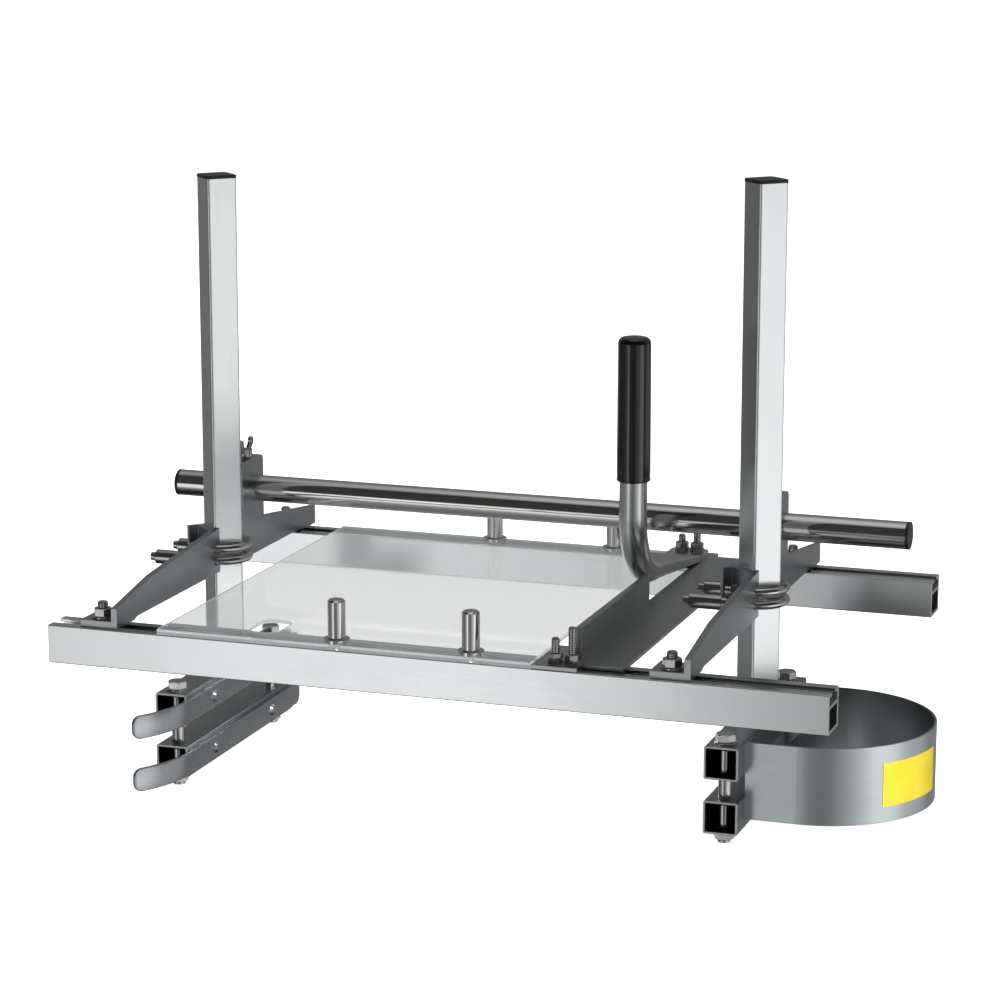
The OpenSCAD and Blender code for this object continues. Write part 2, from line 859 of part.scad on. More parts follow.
// Holes of the guard's screws through a tab and the jaw's wall
module guard_holes() {
    at_guard_screws() translate([0, 0, -jaw_t - cut])
        cylinder(h = jaw_t + guard_t + 2 * cut, d = rivet_d + 2 * bar_gap);
}

// Screws that hold the guard's tabs to the jaw
module guard_screws() {
    head_h = 4;
    color("silver") at_guard_screws() {
        translate([0, 0, -jaw_t - 1]) cylinder(h = jaw_t + 1 + guard_t, d = rivet_d);
        translate([0, 0, guard_t]) hex_prism(rivet_d + 4, head_h);
    }
}

// Middle of the pair of small bolts at the front (0) or the back (1) rail
function pair_x(back) = back == 1 ? handle_x : front_pair_x;

// Places its children at each small bolt: side is -1 for the left one of a pair,
// and lift raises the back pair
module at_small_bolts(side, lift = 0) {
    for (back = [0, 1]) translate([pair_x(back) + side * small_pitch / 2, back * rail_pitch, back * lift])
        children();
}

// Angle between the rails: upright web, flat flange and two feet on the rails
module cross_member() {
    web_front = 9;
    flange_front = -3;
    foot_over = 4;
    color("slategray") difference() {
        union() {
            translate([cross_x, web_front, slide_z]) cube([cross_web_t, cross_web_len, cross_web_h]);
            translate([cross_x, flange_front, slide_z])
                cube([cross_flange_w, rail_pitch - 2 * flange_front, cross_flange_t]);
            for (y = [-rail_w / 2, rail_pitch + rail_w / 2 - cross_foot_len])
                translate([cross_x - cross_foot_w, y, slide_z])
                    cube([cross_foot_w + cross_web_t + foot_over, cross_foot_len, cross_flange_t]);
        }
        for (side = [-1, 1]) at_small_bolts(side)
            translate([0, 0, slide_z - cut])
                cylinder(h = cross_flange_t + 2 * cut, d = small_d + 2 * hole_gap);
    }
}

// Slot bolts of the cross member: short to the left, tall to the right
module cross_member_bolts() {
    color("silver") {
        at_small_bolts(-1) small_bolt(cross_top + small_short);
        at_small_bolts(1) small_bolt(cross_top + small_tall);
    }
}

// Nuts of the cross member, flat against flat
module cross_member_nuts() {
    color("silver") for (side = [-1, 1]) at_small_bolts(side, spade_t) translate([0, 0, cross_top]) rotate(30) {
        washer(small_pitch - 1, washer_t, small_d);
        translate([0, 0, washer_t]) hex_nut(small_af, small_h, small_d);
    }
}

// Bent steel tube with a flattened, bolted end
module push_handle() {
    bore_d = handle_d - 2 * handle_t;
    bend_z = handle_axis_z + handle_r;
    color("silver") difference() {
        union() {
            handle_path(handle_d, bend_z, 0);
            handle_spade();
        }
        handle_path(bore_d, bend_z, cut);
        for (side = [-1, 1]) translate([handle_x + side * small_pitch / 2, rail_pitch, cross_top - cut])
            cylinder(h = spade_t + 2 * cut, d = small_d + 2 * hole_gap);
    }
}

// Round stretches of the handle at diameter d: upright, bend and lower run
module handle_path(d, bend_z, over) {
    translate([handle_x, handle_y, bend_z]) cylinder(h = grip_seat_z - bend_z + over, d = d);
    translate([handle_x, handle_y + handle_r, bend_z]) rotate([-90, 0, -90])
        rotate_extrude(angle = 90) translate([handle_r, 0]) circle(d = d);
    translate([handle_x, handle_y + handle_r, handle_axis_z]) rotate([-90, 0, 0])
        cylinder(h = run_end - handle_y - handle_r, d = d);
}

// Flattened end of the handle, lying on the back foot
module handle_spade() {
    sink = 2;
    ease = 0.15;
    corner_r = 8;
    hull() {
        translate([handle_x, run_end - sink, handle_axis_z]) rotate([-90, 0, 0])
            cylinder(h = sink, d = handle_d - 2 * ease, $fn = 32);
        translate([handle_x - spade_w / 2 + ease, spade_y, cross_top + ease])
            cube([spade_w - 2 * ease, sink, spade_t - 2 * ease]);
    }
    translate([handle_x - spade_w / 2, spade_y, cross_top])
        cube([spade_w, spade_end - spade_y - corner_r, spade_t]);
    translate([handle_x - spade_w / 2 + corner_r, spade_y, cross_top])
        cube([spade_w - 2 * corner_r, spade_end - spade_y, spade_t]);
    for (side = [-1, 1])
        translate([handle_x + side * (spade_w / 2 - corner_r), spade_end - corner_r, cross_top])
            cylinder(h = spade_t, r = corner_r);
}

// Glossy plastic grip with a domed end
module handle_grip() {
    base_z = rail_h + grip_low;
    color("black") translate([handle_x, handle_y, base_z]) difference() {
        union() {
            cylinder(h = grip_len - grip_d / 2, d = grip_d);
            translate([0, 0, grip_len - grip_d / 2]) sphere(d = grip_d);
        }
        translate([0, 0, -cut]) cylinder(h = grip_seat_z - base_z + cut, d = handle_d);
    }
}

// Small slot bolt standing in the rail below the pair's place
module small_bolt(top) {
    slot_bolt(top, small_d, small_pitch - 0.5);
}

front_rail();
back_rail();
clear_plate();
stud_pins();
stud_bolts();
left_end_bracket();
left_bracket_bolts();
left_bracket_nuts();
left_u_bolts();
left_u_bolt_nuts();
left_wing_screw();
right_end_bracket();
right_bracket_bolts();
right_bracket_nuts();
right_u_bolts();
right_u_bolt_nuts();
right_wing_screw();
round_bar();
left_bar_plug();
right_bar_plug();
left_post();
left_post_cap();
left_upper_jaw();
left_jaw_bolts();
left_upper_strip();
left_upper_strip_rivets();
left_lower_jaw();
left_jaw_nuts();
left_lower_strip();
left_lower_strip_rivets();
right_post();
right_post_cap();
right_upper_jaw();
right_jaw_bolts();
nose_guard();
guard_screws();
right_lower_jaw();
right_jaw_nuts();
cross_member();
cross_member_bolts();
cross_member_nuts();
push_handle();
handle_grip();
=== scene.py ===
import math
import bpy
import numpy as np
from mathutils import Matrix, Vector


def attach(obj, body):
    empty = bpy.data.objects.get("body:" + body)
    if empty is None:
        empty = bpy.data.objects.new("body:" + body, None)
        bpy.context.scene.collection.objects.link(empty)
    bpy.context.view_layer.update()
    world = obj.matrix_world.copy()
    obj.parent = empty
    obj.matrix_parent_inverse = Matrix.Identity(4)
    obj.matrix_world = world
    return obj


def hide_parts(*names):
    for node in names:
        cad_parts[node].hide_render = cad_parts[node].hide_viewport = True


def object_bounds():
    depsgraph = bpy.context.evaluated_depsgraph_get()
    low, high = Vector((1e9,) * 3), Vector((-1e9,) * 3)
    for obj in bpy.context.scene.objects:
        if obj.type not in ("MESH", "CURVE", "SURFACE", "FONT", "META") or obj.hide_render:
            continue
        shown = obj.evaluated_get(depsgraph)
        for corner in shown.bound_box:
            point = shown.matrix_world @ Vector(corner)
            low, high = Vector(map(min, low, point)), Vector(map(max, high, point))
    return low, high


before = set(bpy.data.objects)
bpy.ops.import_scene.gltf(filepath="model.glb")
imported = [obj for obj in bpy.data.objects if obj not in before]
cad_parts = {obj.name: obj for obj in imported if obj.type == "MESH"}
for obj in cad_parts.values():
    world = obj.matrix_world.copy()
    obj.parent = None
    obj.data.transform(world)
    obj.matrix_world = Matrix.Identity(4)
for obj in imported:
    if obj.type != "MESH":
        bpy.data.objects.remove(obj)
cad_box = [list(corner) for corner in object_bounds()]

# Driving sizes and places in millimetres, as in the part's source
MM = 0.001
RAIL_PITCH = 361.0
RAIL_TOP = 30.1
BRACKET_X = {"left": -251.0, "right": 205.0}
POST_Y = 197.0
POST_SET_BACK = 3.4
POST_X = {side: x - POST_SET_BACK for side, x in BRACKET_X.items()}
POST_TOP = {"left": 358.0, "right": 371.0}
JAW_LEN = 216.0
JAW_WIDTH = 27.0
JAW_Z = {"upper": -61.0, "lower": -104.0}
JAW_BORE_HALF = (12.0, 200.0, 11.5)
GUARD_X = 255.1
GUARD_RADIUS = 88.0
GUARD_SHEET_MIDDLE = 86.9
SLOT_BOLT_DIA = 8.0
U_ROD_DIA = 7.0
CROSS_BOLT_DIA = 6.0
FLOOR_Z = cad_box[0][2]


# Mesh pieces

def grid_mesh(name, points, wrap_v=False, caps=False, sharp=40.0):
    """Mesh through a grid of points P[i, j]: each cell between rows i, i+1 and columns j, j+1 is
    one quad. wrap_v joins the last column to the first. caps closes the first and last row with a
    fan to the mean of that row. Edges that turn by more than sharp degrees stay sharp."""
    rows, cols = points.shape[:2]
    verts = points.reshape(-1, 3)
    i = np.arange(rows - 1)[:, None]
    j = np.arange(cols if wrap_v else cols - 1)[None, :]
    next_i, next_j = i + 1, (j + 1) % cols
    corners = [i * cols + j, i * cols + next_j, next_i * cols + next_j, next_i * cols + j]
    faces = np.stack(corners, axis=-1).reshape(-1, 4).tolist()
    if caps:
        ring = np.arange(cols)
        next_ring = (ring + 1) % cols
        first, last = len(verts), len(verts) + 1
        verts = np.vstack([verts, points[0].mean(axis=0), points[-1].mean(axis=0)])
        base = (rows - 1) * cols
        faces += np.stack([np.full(cols, first), next_ring, ring], axis=-1).tolist()
        faces += np.stack([np.full(cols, last), base + ring, base + next_ring], axis=-1).tolist()
    mesh = bpy.data.meshes.new(name)
    mesh.from_pydata(verts.tolist(), [], faces)
    mesh.validate()
    mesh.update()
    mesh.polygons.foreach_set("use_smooth", np.ones(len(mesh.polygons), bool))
    mesh.set_sharp_from_angle(angle=math.radians(sharp))
    obj = bpy.data.objects.new(name, mesh)
    bpy.context.scene.collection.objects.link(obj)
    return obj


def turned(profile, centre, sides):
    """Surface of revolution about an upright axis: each row of the profile is (radius, height),
    and at angle a its point is centre + radius (cos a, sin a), with height as Z."""
    a = np.linspace(0.0, 2 * np.pi, sides, endpoint=False)
    ring = np.stack([np.cos(a), np.sin(a)], axis=-1)
    flat = profile[:, None, :1] * ring[None] + np.array(centre)
    height = np.broadcast_to(profile[:, 1:], flat.shape[:2])
    return np.concatenate([flat, height[..., None]], axis=-1) * MM


# Node groups

def new_group(name, inputs, outputs):
    """Empty shader node group with the named sockets; inputs are (name, type, default)."""
    group = bpy.data.node_groups.new(name, "ShaderNodeTree")
    for label, kind, value in inputs:
        socket = group.interface.new_socket(name=label, in_out="INPUT", socket_type=kind)
        socket.default_value = value
    for label, kind in outputs:
        group.interface.new_socket(name=label, in_out="OUTPUT", socket_type=kind)
    return group, group.nodes.new("NodeGroupInput"), group.nodes.new("NodeGroupOutput")


def node(tree, kind, **values):
    """New node; values set its properties, and values of its inputs come as in_NAME or
    in_NUMBER."""
    made = tree.nodes.new(kind)
    for key, value in values.items():
        if key.startswith("in_"):
            slot = key[3:]
            slot = int(slot) if slot.isdigit() else slot.replace("_", " ")
            made.inputs[slot].default_value = value
        else:
            setattr(made, key, value)
    return made


def link(tree, source, target):
    tree.links.new(source, target)


def feed(tree, value, socket):
    """Gives a socket a number, a colour of three shares or the output of another node."""
    if isinstance(value, bpy.types.NodeSocket):
        link(tree, value, socket)
    elif isinstance(value, tuple):
        socket.default_value = (*value, 1.0)
    else:
        socket.default_value = value


def maths(tree, operation, a, b=None, clamp=False):
    """Math node on two sockets or numbers; returns its output socket."""
    made = node(tree, "ShaderNodeMath", operation=operation, use_clamp=clamp)
    feed(tree, a, made.inputs[0])
    if b is not None:
        feed(tree, b, made.inputs[1])
    return made.outputs[0]


def spread(tree, value, low, high):
    """0 where the value is low and 1 where it is high, held outside that range."""
    made = node(tree, "ShaderNodeMapRange", in_1=low, in_2=high, in_3=0.0, in_4=1.0)
    link(tree, value, made.inputs[0])
    return made.outputs[0]


def build_grain():
    """Fine drawn lines: noise on coordinates that are stretched by the Stretch input, which is
    small along the lines and large across them."""
    group, start, end = new_group(
        "drawn_lines",
        [("Stretch", "NodeSocketVector", (20.0, 900.0, 900.0))],
        [("Lines", "NodeSocketFloat")])
    coords = node(group, "ShaderNodeTexCoord")
    scaled = node(group, "ShaderNodeVectorMath", operation="MULTIPLY")
    link(group, coords.outputs["Object"], scaled.inputs[0])
    link(group, start.outputs["Stretch"], scaled.inputs[1])
    noise = node(group, "ShaderNodeTexNoise", in_Scale=1.0, in_Detail=3.0, in_Roughness=0.65)
    link(group, scaled.outputs[0], noise.inputs["Vector"])
    link(group, noise.outputs["Fac"], end.inputs["Lines"])
    return group


def build_cloud():
    """Broad, faint variation: the middle range of a noise of the Scale input, spread over 0 to
    1."""
    group, start, end = new_group(
        "hand_marks",
        [("Scale", "NodeSocketFloat", 20.0)],
        [("Value", "NodeSocketFloat")])
    coords = node(group, "ShaderNodeTexCoord")
    noise = node(group, "ShaderNodeTexNoise", in_Detail=4.0, in_Roughness=0.6)
    link(group, coords.outputs["Object"], noise.inputs["Vector"])
    link(group, start.outputs["Scale"], noise.inputs["Scale"])
    link(group, spread(group, noise.outputs["Fac"], 0.3, 0.7), end.inputs["Value"])
    return group


def build_edge():
    """Edges, part worn bare and part painted highlight: the normal of an edge rounded by Radius,
    and a mask that is 1 where that normal turns away from the flat face's own."""
    group, start, end = new_group(
        "worn_edge_and_highlight",
        [("Radius", "NodeSocketFloat", 0.0006)],
        [("Mask", "NodeSocketFloat"), ("Normal", "NodeSocketVector")])
    bevel = node(group, "ShaderNodeBevel", samples=6)
    link(group, start.outputs["Radius"], bevel.inputs["Radius"])
    geometry = node(group, "ShaderNodeNewGeometry")
    dot = node(group, "ShaderNodeVectorMath", operation="DOT_PRODUCT")
    link(group, bevel.outputs["Normal"], dot.inputs[0])
    link(group, geometry.outputs["Normal"], dot.inputs[1])
    link(group, spread(group, dot.outputs["Value"], 0.995, 0.80), end.inputs["Mask"])
    link(group, bevel.outputs["Normal"], end.inputs["Normal"])
    return group


def build_cut():
    """Sawn faces: a mask that is 1 where the piece's own normal lies along the Axis input, either
    way."""
    group, start, end = new_group(
        "sawn_face",
        [("Axis", "NodeSocketVector", (0.0, 1.0, 0.0))],
        [("Mask", "NodeSocketFloat")])
    coords = node(group, "ShaderNodeTexCoord")
    dot = node(group, "ShaderNodeVectorMath", operation="DOT_PRODUCT")
    link(group, coords.outputs["Normal"], dot.inputs[0])
    link(group, start.outputs["Axis"], dot.inputs[1])
    size = maths(group, "ABSOLUTE", dot.outputs["Value"])
    link(group, spread(group, size, 0.94, 0.99), end.inputs["Mask"])
    return group


def from_centre(group, start):
    """Vector node that holds the piece's own coordinates less the group's Centre input."""
    coords = node(group, "ShaderNodeTexCoord")
    away = node(group, "ShaderNodeVectorMath", operation="SUBTRACT")
    link(group, coords.outputs["Object"], away.inputs[0])
    link(group, start.outputs["Centre"], away.inputs[1])
    return away


def build_bore():
    """Inside of a tube, where painted shade goes: a mask that is 1 within the box round Centre
    whose half sizes are Half.
    """
    group, start, end = new_group(
        "tube_bore",
        [("Centre", "NodeSocketVector", (0.0, 0.0, 0.0)),
         ("Half", "NodeSocketVector", (0.01, 1.0, 0.01))],
        [("Mask", "NodeSocketFloat")])
    size = node(group, "ShaderNodeVectorMath", operation="ABSOLUTE")
    link(group, from_centre(group, start).outputs[0], size.inputs[0])
    left = node(group, "ShaderNodeVectorMath", operation="SUBTRACT")
    link(group, start.outputs["Half"], left.inputs[0])
    link(group, size.outputs[0], left.inputs[1])
    parts = node(group, "ShaderNodeSeparateXYZ")
    link(group, left.outputs[0], parts.inputs[0])
    least = maths(group, "MINIMUM", parts.outputs[0], parts.outputs[1])
    least = maths(group, "MINIMUM", least, parts.outputs[2])
    link(group, maths(group, "GREATER_THAN", least, 0.0), end.inputs["Mask"])
    return group


def build_inner():
    """Inner side of a sheet bent round an upright axis with straight legs towards -X, where
    painted
    shade goes: a mask that is 1 where the distance to the axis through Centre is less than Radius.
    On the legs' side of the axis only the distance in Y counts."""
    group, start, end = new_group(
        "inner_side",
        [("Centre", "NodeSocketVector", (0.0, 0.0, 0.0)),
         ("Radius", "NodeSocketFloat", 0.1)],
        [("Mask", "NodeSocketFloat")])
    parts = node(group, "ShaderNodeSeparateXYZ")
    link(group, from_centre(group, start).outputs[0], parts.inputs[0])
    ahead = maths(group, "MAXIMUM", parts.outputs[0], 0.0)
    across = parts.outputs[1]
    square = maths(group, "ADD", maths(group, "MULTIPLY", ahead, ahead),
                   maths(group, "MULTIPLY", across, across))
    inside = maths(group, "LESS_THAN", maths(group, "SQRT", square), start.outputs["Radius"])
    link(group, inside, end.inputs["Mask"])
    return group


GROUPS = {"grain": build_grain(), "cloud": build_cloud(), "edge": build_edge(),
          "cut": build_cut(), "bore": build_bore(), "inner": build_inner()}


# Materials

def use_group(tree, key, **values):
    """Places a node group in a material with its own values."""
    made = node(tree, "ShaderNodeGroup", node_tree=GROUPS[key])
    for label, value in values.items():
        made.inputs[label].default_value = value
    return made


def mix_colour(tree, factor, a, b):
    """Mix of two colours or sockets by a factor socket; returns the result socket."""
    made = node(tree, "ShaderNodeMix", data_type="RGBA")
    link(tree, factor, made.inputs[0])
    feed(tree, a, made.inputs[6])
    feed(tree, b, made.inputs[7])
    return made.outputs[2]


def blend_value(tree, factor, a, b):
    """a where the factor socket is 0 and b where it is 1, for numbers or sockets."""
    made = node(tree, "ShaderNodeMix", data_type="FLOAT")
    link(tree, factor, made.inputs[0])
    feed(tree, a, made.inputs[2])
    feed(tree, b, made.inputs[3])
    return made.outputs[0]


def new_material(name, **constants):
    """Material with its Principled shader, whose constants come as socket names with
    underscores."""
    mat = bpy.data.materials.new(name)
    mat.use_nodes = True
    bsdf = mat.node_tree.nodes["Principled BSDF"]
    for key, value in constants.items():
        bsdf.inputs[key.replace("_", " ")].default_value = value
    return mat, mat.node_tree, bsdf


def add_bump(tree, bsdf, height, strength, distance, normal=None):
    """Bump of the height socket, distance in millimetres, on the shader's normal."""
    bumps = node(tree, "ShaderNodeBump", in_Strength=strength, in_Distance=distance * MM)
    link(tree, height, bumps.inputs["Height"])
    if normal is not None:
        link(tree, normal, bumps.inputs["Normal"])
    link(tree, bumps.outputs["Normal"], bsdf.inputs["Normal"])


PALE_CUT = (0.85, 0.87, 0.87)
# Edge colours: part bare-metal wear, part painted highlight
PALE_EDGE = (0.95, 0.96, 0.96)
STEEL_EDGE = (0.80, 0.83, 0.84)
# Colour of the painted shade inside tube bores
BORE_PAINTED_SHADE = (0.03, 0.03, 0.03)
LINES_SHARE = 0.6
MARKS_SHARE = 0.4
CUT_ROUGH = 0.45
BORE_ROUGH = 0.55
EDGE_SHARE = 0.6


def metal(name, light, dark, rough, stretch, edge=(0.9, 0.92, 0.92), bump=0.25, radius=0.6,
          cut=None, cut_colour=PALE_CUT, bore=None, cloud_scale=18.0, vary=0.10,
          inner=None, inner_painted_shade=None):
    """Metal finish: colour between dark and light by drawn lines and hand marks, roughness that
    falls by vary from dark to light, edges of the radius in millimetres lighter as part wear and
    part painted highlight, sawn faces along the cut axis in their own colour, and painted shade
    that darkens the bore of a tube or the inner side of a bent sheet."""
    mat, tree, bsdf = new_material(name, Metallic=1.0)
    grain = use_group(tree, "grain", Stretch=stretch)
    cloud = use_group(tree, "cloud", Scale=cloud_scale)
    edges = use_group(tree, "edge", Radius=radius * MM)
    shade = maths(tree, "ADD", maths(tree, "MULTIPLY", grain.outputs["Lines"], LINES_SHARE),
                  maths(tree, "MULTIPLY", cloud.outputs["Value"], MARKS_SHARE), clamp=True)
    colour = mix_colour(tree, shade, dark, light)
    roughness = maths(tree, "ADD", maths(tree, "MULTIPLY", shade, -vary), rough + vary / 2)
    if cut:
        sawn = use_group(tree, "cut", Axis=cut)
        colour = mix_colour(tree, sawn.outputs["Mask"], colour, cut_colour)
        roughness = blend_value(tree, sawn.outputs["Mask"], roughness, CUT_ROUGH)
    # Lightens the edges: part bare-metal wear, part painted highlight
    rim = maths(tree, "MULTIPLY", edges.outputs["Mask"], EDGE_SHARE)
    colour = mix_colour(tree, rim, colour, edge)
    # Painted shade: the tube's bore is darkened where shade falls inside it
    if bore:
        inside = use_group(tree, "bore", Centre=bore[0], Half=bore[1])
        colour = mix_colour(tree, inside.outputs["Mask"], colour, BORE_PAINTED_SHADE)
        roughness = blend_value(tree, inside.outputs["Mask"], roughness, BORE_ROUGH)
    # Painted shade: the inner side of the bent sheet is darkened
    if inner:
        inside = use_group(tree, "inner", Centre=inner[0], Radius=inner[1])
        colour = mix_colour(tree, inside.outputs["Mask"], colour, inner_painted_shade)
    link(tree, colour, bsdf.inputs["Base Color"])
    link(tree, roughness, bsdf.inputs["Roughness"])
    add_bump(tree, bsdf, grain.outputs["Lines"], bump, 0.1, edges.outputs["Normal"])
    return mat


def moulded(name, light, dark, rough, coat, pebble_scale, bump, **constants):
    """Moulded plastic: near-black with a faint pebble from noise in colour, gloss and bump."""
    mat, tree, bsdf = new_material(name, Coat_Weight=coat, **constants)
    cloud = use_group(tree, "cloud", Scale=30.0)
    pebble = use_group(tree, "grain", Stretch=(pebble_scale,) * 3)
    edges = use_group(tree, "edge", Radius=0.8 * MM)
    gloss = maths(tree, "ADD", maths(tree, "MULTIPLY", cloud.outputs["Value"], 0.06), rough)
    link(tree, mix_colour(tree, cloud.outputs["Value"], dark, light), bsdf.inputs["Base Color"])
    link(tree, gloss, bsdf.inputs["Roughness"])
    add_bump(tree, bsdf, pebble.outputs["Lines"], bump, 0.2, edges.outputs["Normal"])
    return mat


def clear_sheet(name):
    """Clear acrylic: nearly full transmission, a faint painted glow on the faces that makes it
    milky, faint wipe marks in the gloss, and a paler painted glow on the cut edges for the light
    the sheet leads to them."""
    face_tint, edge_tint = (0.79, 0.80, 0.795), (0.80, 0.84, 0.84)
    face_painted_glow, edge_painted_glow = (0.075, 0.078, 0.078), (0.11, 0.12, 0.12)
    smear_depth, edge_rough = 0.04, 0.35
    mat, tree, bsdf = new_material(name, Transmission_Weight=1.0, IOR=1.22, Emission_Strength=1.0)
    wipe = use_group(tree, "grain", Stretch=(6.0, 60.0, 60.0))
    cloud = use_group(tree, "cloud", Scale=9.0)
    flat = use_group(tree, "cut", Axis=(0.0, 0.0, 1.0)).outputs["Mask"]
    marks = maths(tree, "ADD", wipe.outputs["Lines"], cloud.outputs["Value"])
    smear = maths(tree, "MULTIPLY", marks, smear_depth)
    link(tree, mix_colour(tree, flat, edge_tint, face_tint), bsdf.inputs["Base Color"])
    link(tree, blend_value(tree, flat, edge_rough, smear), bsdf.inputs["Roughness"])
    # Painted glow: emission on the faces and, paler, on the cut edges
    link(tree, mix_colour(tree, flat, edge_painted_glow, face_painted_glow), bsdf.inputs["Emission Color"])
    return mat


def yellow_film(name):
    """Plain yellow film: warm yellow with faint cloudiness and a slight orange peel."""
    light, dark, rough = (0.98, 0.78, 0.04), (0.93, 0.70, 0.02), 0.35
    mat, tree, bsdf = new_material(name, Coat_Weight=0.3)
    cloud = use_group(tree, "cloud", Scale=60.0)
    peel = use_group(tree, "grain", Stretch=(900.0, 900.0, 900.0))
    gloss = maths(tree, "ADD", maths(tree, "MULTIPLY", cloud.outputs["Value"], 0.1), rough)
    link(tree, mix_colour(tree, cloud.outputs["Value"], dark, light), bsdf.inputs["Base Color"])
    link(tree, gloss, bsdf.inputs["Roughness"])
    add_bump(tree, bsdf, peel.outputs["Lines"], 0.1, 0.1)
    return mat


def jaw_metal(name, side, level):
    """Jaw tube: grey drawn steel, light sawn ends, painted shade darkening the bore round the
    tube's own axis.
    """
    centre = (POST_X[side] * MM, POST_Y * MM, JAW_Z[level] * MM)
    half = tuple(size * MM for size in JAW_BORE_HALF)
    return metal(name, light=(0.50, 0.53, 0.54), dark=(0.36, 0.39, 0.40), rough=0.36,
                 stretch=(700.0, 18.0, 700.0), radius=0.9, cut=(0.0, 1.0, 0.0),
                 cut_colour=(0.86, 0.87, 0.87), bore=(centre, half))


MATERIALS = {
    "rail": metal(
        "rail_aluminium", light=(0.86, 0.88, 0.89), dark=(0.80, 0.83, 0.84), rough=0.20,
        stretch=(4.0, 600.0, 600.0), bump=0.04, vary=0.06, cut=(1.0, 0.0, 0.0), edge=PALE_EDGE,
        radius=0.7),
    "post": metal(
        "post_aluminium", light=(0.90, 0.93, 0.93), dark=(0.86, 0.90, 0.91), rough=0.25,
        stretch=(500.0, 500.0, 4.0), bump=0.025, vary=0.05, edge=PALE_EDGE, radius=0.9),
    "bracket": metal(
        "bracket_steel", light=(0.54, 0.57, 0.59), dark=(0.46, 0.49, 0.51), rough=0.34,
        stretch=(200.0, 20.0, 200.0), bump=0.12, cut=(0.0, 1.0, 0.0),
        cut_colour=(0.84, 0.86, 0.86), edge=STEEL_EDGE),
    "cross": metal(
        "cross_member_steel", light=(0.58, 0.60, 0.61), dark=(0.50, 0.52, 0.53), rough=0.32,
        stretch=(200.0, 20.0, 200.0), bump=0.12, edge=STEEL_EDGE),
    "strip": metal(
        "strip_steel", light=(0.60, 0.63, 0.65), dark=(0.52, 0.55, 0.57), rough=0.28,
        stretch=(20.0, 20.0, 500.0), bump=0.1),
    "guard": metal(
        "guard_sheet", light=(0.80, 0.85, 0.87), dark=(0.76, 0.81, 0.83), rough=0.34,
        stretch=(20.0, 20.0, 400.0), bump=0.06,
        # The guard's inner side carries painted shade
        inner=((GUARD_X * MM, POST_Y * MM, 0.0), GUARD_SHEET_MIDDLE * MM),
        inner_painted_shade=(0.30, 0.33, 0.34)),
    "polished": metal(
        "polished_steel", light=(0.84, 0.83, 0.81), dark=(0.72, 0.71, 0.69), rough=0.10,
        stretch=(30.0, 900.0, 900.0), bump=0.08, edge=(0.9, 0.9, 0.88)),
    "handle": metal(
        "handle_steel", light=(0.74, 0.75, 0.76), dark=(0.68, 0.69, 0.70), rough=0.25,
        stretch=(200.0, 200.0, 200.0), bump=0.03, vary=0.05, edge=(0.9, 0.9, 0.9)),
    "zinc": metal(
        "zinc_plate", light=(0.70, 0.70, 0.68), dark=(0.44, 0.44, 0.43), rough=0.18,
        stretch=(200.0, 200.0, 200.0), bump=0.15, edge=(0.92, 0.91, 0.88), radius=0.5,
        cloud_scale=120.0),
    "thread": metal(
        "zinc_thread", light=(0.62, 0.62, 0.60), dark=(0.34, 0.34, 0.33), rough=0.24,
        stretch=(400.0, 400.0, 400.0), bump=0.1, edge=(0.85, 0.84, 0.80), radius=0.15,
        cloud_scale=160.0),
    "clear": clear_sheet("clear_acrylic"),
    "plastic": moulded(
        "black_cap", light=(0.012, 0.012, 0.013), dark=(0.006, 0.006, 0.007), rough=0.36, coat=0.1,
        pebble_scale=1500.0, bump=0.15, Coat_Roughness=0.06),
    "grip": moulded(
        "dipped_grip", light=(0.0010, 0.0010, 0.0010), dark=(0.0005, 0.0005, 0.0005), rough=0.12,
        coat=1.0, pebble_scale=120.0, bump=0.01, Coat_Roughness=0.03, Coat_IOR=1.7,
        Specular_IOR_Level=0.10),
    "film": yellow_film("plain_yellow_film"),
}

# Every other node is a bolt, nut, washer, screw or rivet and takes the zinc
FINISH_OF_NODE = {
    "front_rail": "rail", "back_rail": "rail", "clear_plate": "clear",
    "left_post": "post", "right_post": "post",
    "left_end_bracket": "bracket", "right_end_bracket": "bracket", "cross_member": "cross",
    "left_upper_strip": "strip", "left_lower_strip": "strip", "nose_guard": "guard",
    "left_upper_strip_rivets": "strip", "left_lower_strip_rivets": "strip",
    "round_bar": "polished", "left_u_bolts": "polished", "right_u_bolts": "polished",
    "stud_pins": "polished", "push_handle": "handle", "handle_grip": "grip",
    "left_post_cap": "plastic", "right_post_cap": "plastic",
    "left_bar_plug": "plastic", "right_bar_plug": "plastic",
}
JAW_NODES = {f"{side}_{level}_jaw": (side, level) for side in BRACKET_X for level in JAW_Z}


def dress_nodes():
    """Gives each CAD node its finish."""
    for name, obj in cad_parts.items():
        if name in JAW_NODES:
            mat = jaw_metal(name + "_steel", *JAW_NODES[name])
        else:
            mat = MATERIALS[FINISH_OF_NODE.get(name, "zinc")]
        obj.data.materials.clear()
        obj.data.materials.append(mat)


# Pieces

